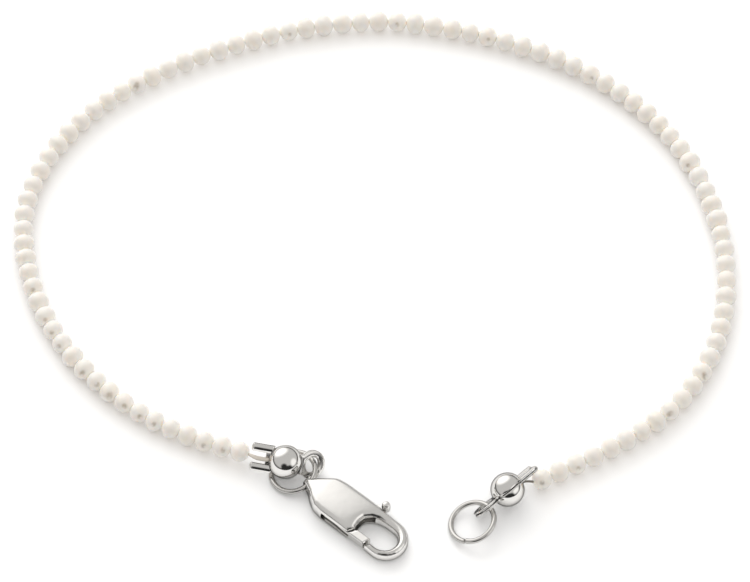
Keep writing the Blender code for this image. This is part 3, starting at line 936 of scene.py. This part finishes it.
@dataclass
class ThreadEnds(Piece):
    """The thread between the pearls and its ends, which run through each fold to a knot in the ball."""

    strand: Strand
    width: float = 0.24
    knot: float = 0.84
    slack: float = 0.8
    name = "thread"
    node = "pearl_string"
    slot = "pearl"

    def mesh(self) -> Surface:
        """A tube along the strand with a swelling at each end for the knot.

        Returns:
            The tube, with the value shade.
        """
        inner = self.strand.at(np.arange(-0.8, self.strand.run[-1] + 0.8, 0.4))
        before, small = self.end(inner[0], TipEnd.CLASP.value)
        after, large = self.end(inner[-1], TipEnd.CATCH.value)
        path = np.vstack([before[::-1], inner, after])
        radius = np.r_[small[::-1], np.full(len(inner), self.width / 2), large]
        q = np.linspace(0, 2 * np.pi, 16, endpoint=False)
        paired = (0.66 + 0.34 * np.cos(q) ** 2)[:, None] * np.stack([np.cos(q), np.sin(q)], axis=1)
        made = carried(path, (0, 0, 1.0), radius[:, None, None] * paired)
        # shade: darker from x = 0 to 12 mm, towards the catch
        made.values["shade"] = np.clip(made.points[:, 0] / 12, 0, 1)
        return made

    def end(self, start: np.ndarray, place: TipPlace) -> tuple:
        """Points from a pearl through the slot to the knot, with the radius at each.

        Args:
            start: Point on the strand where the end begins.
            place: Place of the bead tip that holds the knot.

        Returns:
            Array (n, 3) of points and array of n radii.
        """
        axes = place.frame()
        local = (start - np.array(place.at)) @ axes
        gate, knot = np.array(place.gate), np.array([-0.5, 0, 0])
        stops = np.vstack([local, gate, (-1.35, 0.4 * gate[1], 0.85 * gate[2]), knot - (0.45, 0, 0)])
        path, _ = smooth_path(stops, 0.12)
        grown = np.linspace(-0.42, 0.42, 13)
        swell = self.knot / 2 * np.sqrt(np.clip(1 - (grown / 0.46) ** 2, 0, 1))
        path = np.vstack([path[1:], knot + grown[:, None] * (1.0, 0, 0)])
        loose = 1 + self.slack * np.sin(np.linspace(0, np.pi, len(path) - 13)) * (not place.open_below)
        radius = np.r_[self.width / 2 * loose, np.maximum(swell, self.width / 2)]
        return path @ axes.T + np.array(place.at), radius

    def dress(self) -> bpy.types.Material:
        """Waxed thread."""
        return Thread().material()


# Rings


@dataclass(frozen=True)
class RingSpot:
    """A jump ring's middle, its tilt about Y and X, and the angle of its joint."""

    at: tuple
    tilt: tuple
    joint: float

    def lay(self) -> np.ndarray:
        """Rotation matrix that tilts the ring from level."""
        return turn((0, 1, 0), self.tilt[0]) @ turn((1, 0, 0), self.tilt[1])


class RingPlace(Enum):
    """The two jump rings."""

    CLASP = RingSpot((-7.561, -20.638, 0.72), (-12.284, 3.086), 100.0)
    CATCH = RingSpot((8.955, -26.204, 0.885), (-17.26, 0.0), -110.0)


@dataclass
class JumpRing(Piece):
    """Round wire bent to a circle, open by a hair: P(u, v) = middle + (R + r cos v) e(u) + r sin v n.

    Its two ends pass each other by a little slip.
    """

    name: str
    node: str
    spot: RingSpot
    middle: float = 4.15
    wire: float = 0.49
    gap: float = 0.09
    slip: float = 0.05

    def mesh(self) -> Surface:
        """The wire with its two cut ends slightly rounded.

        Returns:
            The wire.
        """
        radius = self.middle / 2
        start = self.gap / radius / 2
        angle = np.linspace(start, 2 * np.pi - start, 220)
        inward = np.exp(-((angle - start) / 0.22) ** 2)
        outward = 0.6 * np.exp(-((angle[-1] - angle) / 0.3) ** 2)
        path = arc(radius - self.slip * (inward - outward), angle)
        near = np.minimum(angle - start, 2 * np.pi - start - angle) * radius
        trim = 1 - 0.16 * np.clip(1 - near / 0.05, 0, 1) ** 2
        profile = trim[:, None, None] * circle(self.wire / 2, 28)
        lay = self.spot.lay() @ turn((0, 0, 1), self.spot.joint)
        return carried(path, (0, 0, 1.0), profile).moved(lay, self.spot.at)

    def dress(self) -> bpy.types.Material:
        """Silver darker than the sheet's, as drawn wire is."""
        return Silver("wire_silver", colour=(0.62, 0.61, 0.59), edge=(0.02, 0.02, 0.02)).material()


# Clasp


@dataclass
class ClaspBody(Piece):
    """The lobster claw: one band of metal between two edge lines, domed above and flat below.

    Height over a plan point at distance d from the edge: middle + (top - middle) bow(d / round_top), where
    bow(x) = (1 - (1 - x)^f)^(1/f), f is the fullness, middle is the waist's share of top, and top is a
    shallow dome that sinks towards hook and tail.
    """

    layout: Layout
    height: float = 1.92
    width: float = 4.16
    waist: float = 0.46
    round_top: float = 0.62
    round_base: float = 0.42
    fullness: float = 2.3
    bore: float = 0.86
    slot_low: float = 0.6
    slot_high: float = 1.3
    name = "clasp_body_metal"
    node = "clasp_body"

    # Places on the window's or left side, then on the outer or right side, past the hook
    PAIRS = (
        ((8.3, 1.08), (8.2, 2.08)), ((7.6, 0.95), (7.2, 2.08)), ((7.0, 0.62), (6.2, 2.08)),
        ((6.6, 0.15), (5.2, 2.08)), ((6.5, -0.4), (4.3, 2.07)), ((6.58, -0.95), (3.6, 2.07)),
        ((6.72, -1.25), (3.15, 2.06)), ((6.6, -1.62), (2.95, 2.05)), ((6.32, -2.04), (2.8, 2.04)),
        ((5.4, -2.07), (2.6, 2.02)), ((4.0, -2.08), (2.2, 1.97)), ((2.9, -2.06), (1.8, 1.84)),
        ((2.0, -1.92), (1.35, 1.5)), ((1.3, -1.52), (0.85, 1.08)), ((0.65, -1.0), (0.4, 0.72)),
        ((0.15, -0.74), (0.0, 0.36)), ((-0.2, -0.58), (-0.25, 0.18)), ((-0.42, -0.4), (-0.44, 0.02)),
    )
    SLOT = ((3.15, -2.8), (7.3, -2.8), (7.3, 0.2), (7.45, 2.9), (5.3, 2.9), (4.75, 1.1), (4.1, 0.35),
            (3.6, 0.05), (3.15, -0.25))

    def edges(self) -> tuple:
        """The two edge lines of the band from the hook's tip to the tail, finely and evenly matched.

        Returns:
            Two arrays (330, 2), the window's side and the outer side.
        """
        angle = np.radians(np.linspace(-84, 90, 15))
        hook_in = np.stack([9.1 + 1.37 * np.cos(angle), -0.15 + 1.24 * np.sin(angle)], axis=1)
        hook_out = np.stack([9.25 + 2.1 * np.cos(angle), 2.08 * np.sin(angle)], axis=1)
        pairs = np.array(self.PAIRS)
        inner = np.vstack([[(8.56, -1.39), (8.75, -1.34)], hook_in, pairs[:, 0]])
        outer = np.vstack([[(8.35, -2.02), (8.75, -2.05)], hook_out, pairs[:, 1]])
        count, fine = np.arange(len(inner)), np.linspace(0, len(inner) - 1, 330)
        lines = [[np.interp(fine, count, line[:, k]) for k in (0, 1)] for line in (inner, outer)]
        return tuple(np.stack(line, axis=1) for line in lines)

    def heights(self, plan: np.ndarray, edge: np.ndarray) -> tuple:
        """Upper and lower height at plan points a given distance from the edge.

        Args:
            plan: Array (..., 2) of plan points in the clasp's frame.
            edge: Array (...) of distances.

        Returns:
            Two arrays of heights over the table.
        """
        s, t = plan[..., 0], plan[..., 1]
        dome = self.height * (1 - 0.1 * np.clip(np.abs(t / (self.width / 2)), 0, 1) ** 2.2)
        over = 1 / (1 + np.exp(-(s - 7.6 - 0.35 * (t - 1.0)) / 0.36))
        tail = 1 - 0.08 * np.clip((1.9 - s) / 2.6, 0, 1) ** 1.5
        crown = 1 - 0.08 * np.clip(np.abs((s - 3.9) / 3.6), 0, 1.2) ** 2
        top = (dome * crown * (1 - over) + self.height * 0.68 * over) * tail
        middle = self.waist * top

        def bow(reach: float) -> np.ndarray:
            """Rounding of the edge within a reach."""
            return (1 - (1 - np.clip(edge / reach, 0, 1)) ** self.fullness) ** (1 / self.fullness)

        return middle + (top - middle) * bow(self.round_top), middle * (1 - bow(self.round_base))

    def mesh(self) -> Surface:
        """The whole band: across it, points crowd towards both edges.

        Returns:
            The body without its slot and bore.
        """
        inner, outer = self.edges()
        width = np.linalg.norm(outer - inner, axis=1)[:, None]
        reach = np.minimum(self.round_top, width * 0.42)
        crowd = reach * (1 - np.cos(np.linspace(0, np.pi / 2, 14)))[None, :]
        between = reach + (width - 2 * reach) * np.linspace(0, 1, 16)[None, 1:-1]
        share = np.hstack([crowd, between, (width - crowd)[:, ::-1]]) / width
        plan = inner[:, None] + share[..., None] * (outer - inner)[:, None]
        edge = np.minimum(nearest(plan, inner), nearest(plan, outer))
        edge = np.minimum(edge, nearest(plan, np.vstack([inner[:1], outer[:1]])) + 0.05)
        edge = np.minimum(edge, nearest(plan, np.vstack([inner[-1:], outer[-1:]])) + 0.05)
        high, low = self.heights(plan, edge)
        upper = np.concatenate([plan, high[..., None]], axis=2)
        lower = np.concatenate([plan, low[..., None]], axis=2)[:, 1:-1][:, ::-1]
        made = grid_surface(np.concatenate([upper, lower], axis=1), caps=True)
        return self.layout.clasp(made)

    def settle(self, made: bpy.types.Object) -> None:
        """Cuts the lever's slot and the tail's bore, then sharpens the cut edges.

        Args:
            made: The body's object.
        """
        shift = self.layout.shift()
        slot = self.layout.clasp(prism(np.array(self.SLOT), self.slot_low, self.slot_high))
        spot = RingPlace.CLASP.value
        lay = spot.lay()
        ring = arc(JumpRing.middle / 2, np.radians(np.linspace(-75, 15, 60)))
        bore = carried(ring @ lay.T + np.array(spot.at), lay[:, 2], circle(self.bore / 2, 28))
        cut_away(made, [slot, bore], shift)

    def dress(self) -> bpy.types.Material:
        """Silver a little softer than the wire's."""
        return Silver("clasp_silver", roughness=0.2, grain=0.35).material()


def nearest(plan: np.ndarray, line: np.ndarray) -> np.ndarray:
    """Least distance of plan points to a broken line, block by block to spare memory.

    Args:
        plan: Array (..., 2) of points.
        line: Array (n, 2) of the line's corners.

    Returns:
        Array (...) of distances.
    """
    a, d = line[:-1], np.diff(line, axis=0)
    flat = plan.reshape(-1, 2)
    out = np.empty(len(flat))
    for block in np.array_split(np.arange(len(flat)), max(1, len(flat) * len(a) // 2_000_000)):
        gap = flat[block, None] - a
        share = np.clip((gap * d).sum(2) / np.maximum((d * d).sum(1), 1e-12), 0, 1)
        out[block] = np.linalg.norm(gap - share[..., None] * d, axis=2).min(1)
    return out.reshape(plan.shape[:-1])


def prism(outline: np.ndarray, low: float, high: float) -> Surface:
    """A plan outline carried straight up, for cutting.

    Args:
        outline: Array (n, 2) of corners, either way round.
        low: Height of its base.
        high: Height of its top.

    Returns:
        The closed wall, with a lid at both ends.
    """
    x, y = outline[:, 0], outline[:, 1]
    if (x * np.roll(y, -1) - np.roll(x, -1) * y).sum() < 0:
        outline = outline[::-1]
    count = len(outline)
    wall = grid_surface(np.stack([np.c_[outline, np.full(count, z)] for z in (low, high)]))
    wall.lids = (tuple(range(count - 1, -1, -1)), tuple(range(count, 2 * count)))
    return wall


def cut_away(made: bpy.types.Object, tools: list, shift: np.ndarray) -> None:
    """Takes the tools' volumes out of an object for good and keeps the cut edges sharp.

    Args:
        made: The object, whose mesh is replaced.
        tools: Closed surfaces in layout millimetres.
        shift: Move from the layout to the shared frame.
    """
    helpers = []
    for number, tool in enumerate(tools):
        mesh = bpy.data.meshes.new(f"tool_{number}")
        faces = [tuple(dict.fromkeys(face)) for face in tool.faces.tolist()]
        mesh.from_pydata(((tool.points + shift) * MM).tolist(), [], faces + list(tool.lids))
        helper = bpy.data.objects.new(mesh.name, mesh)
        bpy.context.collection.objects.link(helper)
        helpers.append(helper)
        step = made.modifiers.new(f"cut_{number}", "BOOLEAN")
        step.operation, step.solver, step.object = "DIFFERENCE", "EXACT", helper
    bpy.context.view_layer.update()
    graph = bpy.context.evaluated_depsgraph_get()
    mesh = bpy.data.meshes.new_from_object(made.evaluated_get(graph))
    made.modifiers.clear()
    made.data = mesh
    mesh.set_sharp_from_angle(angle=math.radians(38))
    for helper in helpers:
        bpy.data.objects.remove(helper, do_unlink=True)


@dataclass
class ClaspLever(Piece):
    """The gate, the flat lever in the slot and the thumb knob, which turn together."""

    layout: Layout
    pin: tuple = (4.9, -0.7)
    low: float = 0.73
    high: float = 1.17
    gate_low: float = 0.38
    gate_high: float = 1.5
    gate_root: float = 2.07
    gate_reach: float = 3.57
    gate_side: tuple = (-2.04, -1.22)
    gate_edge: float = 0.13
    drum: float = 1.56
    knob_at: tuple = (7.1, 2.58, 0.95)
    knob: float = 0.8
    knob_height: float = 1.2
    name = "clasp_lever_metal"
    node = "clasp_lever"
    body = Body.LEVER

    def mesh(self) -> Surface:
        """Plate, gate and knob."""
        return self.layout.clasp(joined([self.plate(), self.gate(), self.thumb_knob()]))

    def plate(self) -> Surface:
        """The flat lever as a band from its left end through the pivot to the knob and to the gate.

        Returns:
            The arm, the gate's stub and the drum round the pin.
        """
        px, py = self.pin
        arm = np.array([(3.45, -1.42), (4.2, -1.1), (px, py - 0.1), (5.45, 0.45), (6.2, 1.35), (6.95, 2.2)])
        stub = np.array([(3.45, -1.5), (4.6, -1.5), (5.8, -1.58), (6.6, -1.6), (7.3, -1.62)])
        bars = []
        for line, width in ((arm, 0.66), (stub, 0.72)):
            path, _ = smooth_path(np.c_[line, np.full(len(line), (self.low + self.high) / 2)], 0.12)
            bars.append(carried(path, (0, 0, 1.0), rounded_bar(width, self.high - self.low, 0.05)))
        axis = np.array([(px, py, self.low), (px, py, self.high)])
        return joined([*bars, carried(axis, (0, 1.0, 0), circle(self.drum / 2, 32))])

    def gate(self) -> Surface:
        """The gate, a bar with rounded edges between two arcs about the pin.

        Returns:
            The gate.
        """
        px, py = self.pin
        outer, inner = self.gate_side
        t = np.linspace(outer, inner, 24)
        near = px + np.sqrt(self.gate_root**2 - (t - py) ** 2)
        far = px + np.sqrt(self.gate_reach**2 - (t - py) ** 2)
        share = np.linspace(0, 1, 30)[None, :]
        width = (far - near)[:, None]
        s = near[:, None] + share * width
        ends = np.minimum(share * width, (1 - share) * width)
        edge = np.minimum(ends, np.minimum(t - outer, inner - t)[:, None])
        bow = np.sqrt(1 - (1 - np.clip(edge / self.gate_edge, 0, 1)) ** 2) * self.gate_edge
        plan_t = np.broadcast_to(t[:, None], s.shape)
        upper = np.stack([s, plan_t, self.gate_high - self.gate_edge + bow], axis=2)
        lower = np.stack([s, plan_t, self.gate_low + self.gate_edge - bow], axis=2)
        walls = []
        for cut in (np.s_[0, :], np.s_[-1, :], np.s_[:, 0], np.s_[:, -1]):
            walls.append(grid_surface(np.stack([upper[cut], lower[cut]]), wrap_columns=False))
        faces = [grid_surface(upper, wrap_columns=False), grid_surface(lower[::-1], wrap_columns=False)]
        return joined([*faces, *walls])

    def thumb_knob(self) -> Surface:
        """A short upright drum with rounded ends, a profile turned about its own axis.

        Returns:
            The knob.
        """
        x, y, z = self.knob_at
        bow = np.radians(np.linspace(-90, 90, 21))[:, None]
        rise = z + np.sign(np.sin(bow)) * self.knob_height / 2 * np.abs(np.sin(bow)) ** 0.8
        radius = self.knob / 2 * np.cos(bow) ** 0.5 + 0.01
        q = 2 * np.pi * np.arange(40) / 40
        points = [x + radius * np.cos(q), y + radius * np.sin(q), np.broadcast_to(rise, (21, 40))]
        return grid_surface(np.stack(points, axis=2), caps=True)

    def settle(self, made: bpy.types.Object) -> None:
        """Keeps the plate's edges crisp."""
        made.data.set_sharp_from_angle(angle=math.radians(40))


# Room


@dataclass(frozen=True)
class Card:
    """A soft-edged patch of the room that shiny metal mirrors.

    Attributes:
        towards: Direction from the table to the patch.
        inner: Half-angle in degrees that has the full gain.
        outer: Half-angle at which the gain has faded to nothing.
        gain: Brightness added; below zero it darkens.
    """

    towards: tuple
    inner: float
    outer: float
    gain: float


@dataclass(frozen=True)
class Lamp:
    """A square soft light that faces the table's middle."""

    name: str
    at: tuple
    size: float
    watts: float

    def build(self) -> None:
        """Places the light; metal mirrors the room's patches in its stead."""
        data = bpy.data.lights.new(self.name, "AREA")
        data.shape, data.size, data.energy = "SQUARE", self.size * MM, self.watts
        made = bpy.data.objects.new(self.name, data)
        made.location = tuple(np.array(self.at) * MM)
        away = unit(np.array(self.at, float))
        made.rotation_euler = (math.acos(away[2]), 0, math.atan2(away[0], -away[1]))
        made.visible_glossy = False
        bpy.context.collection.objects.link(made)


@dataclass(frozen=True)
class Studio:
    """White table, soft light from behind, above and in front, and the camera's place."""

    lens: float = 305.28
    camera_at: tuple = (0.0, -335.5, 497.4)
    elevation: float = 56.0
    rim: float = 0.03
    sky: float = 0.58
    tint: tuple = (1.0, 0.985, 0.965)
    cards: tuple = (
        Card((-0.44, 0.73, 0.52), 12, 46, 0.95),
        Card((0.85, -0.30, 0.42), 10, 30, 0.5),
        Card((-0.14, -0.88, 0.42), 9, 27, -0.6),
        Card((0.40, -0.88, 0.20), 8, 24, -0.6),
    )
    lamps: tuple = (
        Lamp("back_softbox", (-80, 480, 260), 560, 1.75),
        Lamp("top_softbox", (40, 60, 560), 700, 0.95),
        Lamp("front_fill", (-20, -420, 300), 600, 0.65),
    )

    def floor(self) -> bpy.types.Object:
        """A pale matt table top.

        Returns:
            The table's object.
        """
        shader = Shader("table")
        shader.set(Base_Color=(0.93, 0.93, 0.93, 1.0), Roughness=0.55, Specular_IOR_Level=0.25)
        x = np.linspace(-420, 420, 3)
        points = np.stack(np.meshgrid(x, x, indexing="ij") + [np.zeros((3, 3))], axis=2)
        made = grid_surface(points[::-1], wrap_columns=False)
        return add_object("table", made, np.array([0, 0, -0.01]), shader.material)

    def world(self) -> None:
        """A grey dome with a dark rim over the table's edge, plus the soft-edged cards.

        Brightness = rim + sky * ease(height) + sum of gain * ease(cosine of the angle to each card), and
        never less than rim.
        """
        world = bpy.data.worlds.new("room")
        world.use_nodes = True
        bpy.context.scene.world = world
        room = Nodes(world.node_tree)
        place = room.node("ShaderNodeTexCoord").outputs["Generated"]
        split = room.node("ShaderNodeSeparateXYZ")
        room.join(place, split.inputs[0])
        total = room.eased(split.outputs["Z"], 0.0, 0.30, self.rim, self.rim + self.sky)
        for card in self.cards:
            dot = room.node("ShaderNodeVectorMath", operation="DOT_PRODUCT")
            room.join(place, dot.inputs[0])
            dot.inputs[1].default_value = tuple(unit(np.array(card.towards, float)))
            far, near = math.cos(math.radians(card.outer)), math.cos(math.radians(card.inner))
            total = room.math("ADD", total, room.eased(dot.outputs["Value"], far, near, 0.0, card.gain))
        shade = room.tree.nodes["Background"]
        shade.inputs["Color"].default_value = (*self.tint, 1.0)
        room.join(room.math("MAXIMUM", total, self.rim), shade.inputs["Strength"])

    def camera(self, shift: np.ndarray) -> None:
        """Looks down at the photo's angle.

        Args:
            shift: Move from the layout to the shared frame.
        """
        data = bpy.data.cameras.new("camera")
        data.lens, data.sensor_width = self.lens, 36.0
        data.clip_start, data.clip_end = 0.01, 5.0
        made = bpy.data.objects.new("camera", data)
        made.location = tuple((np.array(self.camera_at) + shift) * MM)
        made.rotation_euler = (math.radians(90 - self.elevation), 0, 0)
        bpy.context.collection.objects.link(made)
        bpy.context.scene.camera = made

    def build(self, shift: np.ndarray) -> None:
        """Sets up the room.

        Args:
            shift: Move from the layout to the shared frame.
        """
        self.floor()
        self.world()
        for lamp in self.lamps:
            lamp.build()
        self.camera(shift)
        view = bpy.context.scene.view_settings
        view.view_transform, view.look, view.exposure = "Standard", "None", 0.0
        LOG.info("studio: table, dome with %d cards, %d lamps, camera", len(self.cards), len(self.lamps))


def main() -> None:
    """Builds every piece in order and reports it."""
    logging.basicConfig(level=logging.INFO, format="%(message)s")
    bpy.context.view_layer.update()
    layout = Layout()
    shift = layout.shift()
    strand = Strand(layout)
    pieces = [
        Pearls(strand),
        ThreadEnds(strand),
        BeadTip("bead_tip_left_silver", "bead_tip_left", TipEnd.CLASP.value),
        BeadTip("bead_tip_right_silver", "bead_tip_right", TipEnd.CATCH.value),
        JumpRing("jump_ring_left_wire", "jump_ring_left", RingPlace.CLASP.value),
        JumpRing("jump_ring_right_wire", "jump_ring_right", RingPlace.CATCH.value),
        ClaspBody(layout),
        ClaspLever(layout),
    ]
    for piece in pieces:
        piece.build(shift)
    Studio().build(shift)


if __name__ == "__main__":
    main()
